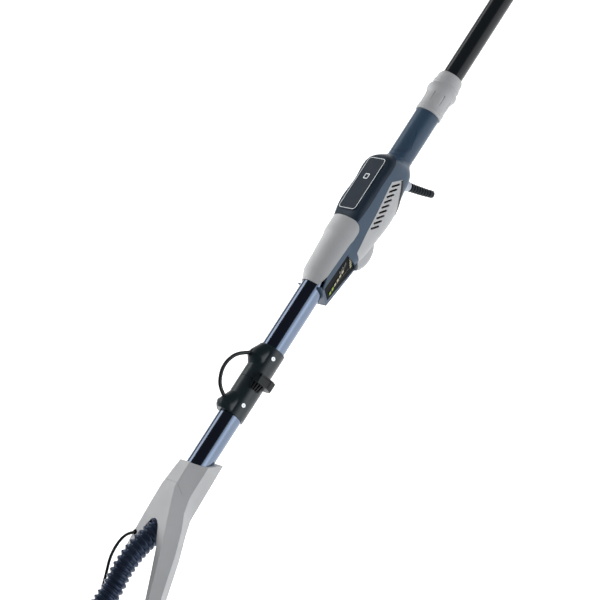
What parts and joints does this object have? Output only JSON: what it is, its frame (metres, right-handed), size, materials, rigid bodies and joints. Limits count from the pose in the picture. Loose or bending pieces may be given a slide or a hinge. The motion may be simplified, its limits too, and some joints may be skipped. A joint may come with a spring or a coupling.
{
  "type": "drywall sander",
  "caption": "Long-reach drywall sander with a telescopic folding pole, a control housing, a forked head mount, a corrugated dust hose and a round sanding head.",
  "frame": {"origin": "centre of the main grip on the axis of the middle tube", "axes": "+X along the pole towards the dust outlet, with the sanding head at -X; +Z out of the control panel; the latch is on the -Y side"},
  "size_m": [1.612, 0.236, 0.236],
  "materials": {
    "navy_plastic": "satin moulded navy plastic",
    "blue_plastic": "satin moulded slate-blue plastic",
    "grey_plastic": "fine-grained light-grey moulded plastic",
    "panel_black": "smooth dark panel",
    "silver_trim": "pale metallic outline",
    "dark_plastic": "black moulded plastic",
    "slate_plastic": "dark slate glass-filled plastic",
    "pale_plastic": "pale grey plastic",
    "pole_black": "glossy black coated aluminium tube",
    "black_rubber": "black rubber",
    "hose_black": "blue-black corrugated hose",
    "lead_black": "black lead sheath",
    "label_dark": "dark plate with plain printed bars",
    "bright_steel": "bright plated steel",
    "motor_steel": "laminated steel",
    "plain_aluminium": "die-cast aluminium",
    "board_green": "circuit board",
    "bristle_black": "nylon bristles",
    "pad_foam": "backing pad foam",
    "abrasive_sheet": "abrasive sheet"
  },
  "bodies": {
    "housing": {"control_cover": "navy_plastic", "control_panel": "panel_black", "panel_trim": "silver_trim", "vent_cover": "grey_plastic", "housing_left": "blue_plastic", "housing_right": "blue_plastic", "cover_clip": "dark_plastic", "label_plates": "label_dark", "grip_cover": "grey_plastic", "strain_relief": "black_rubber", "strain_band": "pale_plastic", "shell_screws": "bright_steel", "mid_tube": "pole_black", "duct_adapter": "dark_plastic", "guide_duct": "dark_plastic", "control_board": "board_green", "button_switch": "dark_plastic", "heat_sink": "plain_aluminium", "capacitors": "dark_plastic", "terminal_block": "pale_plastic", "collet": "dark_plastic", "fold_joint_rear": "slate_plastic", "fold_pin": "bright_steel", "joint_screw_rear": "bright_steel", "latch_pin": "bright_steel", "bridge_lead": "lead_black"},
    "lock_collar": {"lock_collar": "grey_plastic"},
    "extension": {"extension_tube": "pole_black", "rear_grip": "black_rubber", "dust_outlet": "dark_plastic", "inner_stop": "dark_plastic"},
    "power_button": {"power_button": "panel_black", "button_ring": "silver_trim"},
    "latch": {"latch_lever": "dark_plastic"},
    "lower_pole": {"fold_joint_front": "slate_plastic", "joint_screw_front": "bright_steel", "lower_tube": "pole_black", "fork_left": "grey_plastic", "fork_right": "grey_plastic", "fork_screws": "bright_steel", "lead_grommet": "black_rubber", "dust_hose": "hose_black", "head_lead": "lead_black"},
    "gimbal": {"gimbal_ring": "plain_aluminium", "pitch_pins": "bright_steel"},
    "head": {"roll_pins": "bright_steel", "motor_housing": "grey_plastic", "motor_stator": "motor_steel", "shroud": "grey_plastic", "brush_skirt": "bristle_black", "dust_port": "dark_plastic", "hose_cuff": "black_rubber"},
    "spindle": {"motor_shaft": "motor_steel", "backing_pad": "pad_foam", "abrasive_disc": "abrasive_sheet", "pad_screw": "bright_steel"}
  },
  "joints": [
    {"name": "collar_twist", "type": "hinge", "parent": "housing", "child": "lock_collar", "pos_m": [0.33, 0, -0.0076], "axis": [1, 0, 0], "range_deg": [0, 90]},
    {"name": "extension_slide", "type": "slide", "parent": "housing", "child": "extension", "axis": [1, 0, 0], "range_m": [0, 0.15]},
    {"name": "button_press", "type": "slide", "parent": "housing", "child": "power_button", "axis": [0, 0, -1], "range_m": [0, 0.001], "stiffness_N_per_m": 600},
    {"name": "latch_swing", "type": "hinge", "parent": "housing", "child": "latch", "pos_m": [-0.246, -0.0285, 0], "axis": [0, 0, 1], "range_deg": [0, 60], "stiffness_Nm_per_rad": 0.05},
    {"name": "fold_hinge", "type": "hinge", "parent": "housing", "child": "lower_pole", "pos_m": [-0.255, 0.026, 0], "axis": [0, 0, -1], "range_deg": [0, 150], "deforming": ["bridge_lead"]},
    {"name": "head_pitch", "type": "hinge", "parent": "lower_pole", "child": "gimbal", "pos_m": [-0.745, 0, -0.052], "axis": [0, 1, 0], "range_deg": [-35, 45], "deforming": ["dust_hose", "head_lead"]},
    {"name": "head_roll", "type": "hinge", "parent": "gimbal", "child": "head", "pos_m": [-0.745, 0, -0.052], "axis": [0, 0, 1], "range_deg": [-14, 14], "deforming": ["dust_hose", "head_lead"]},
    {"name": "pad_spin", "type": "hinge", "parent": "head", "child": "spindle", "pos_m": [-0.8, 0, -0.052], "axis": [1, 0, 0], "continuous": true}
  ]
}
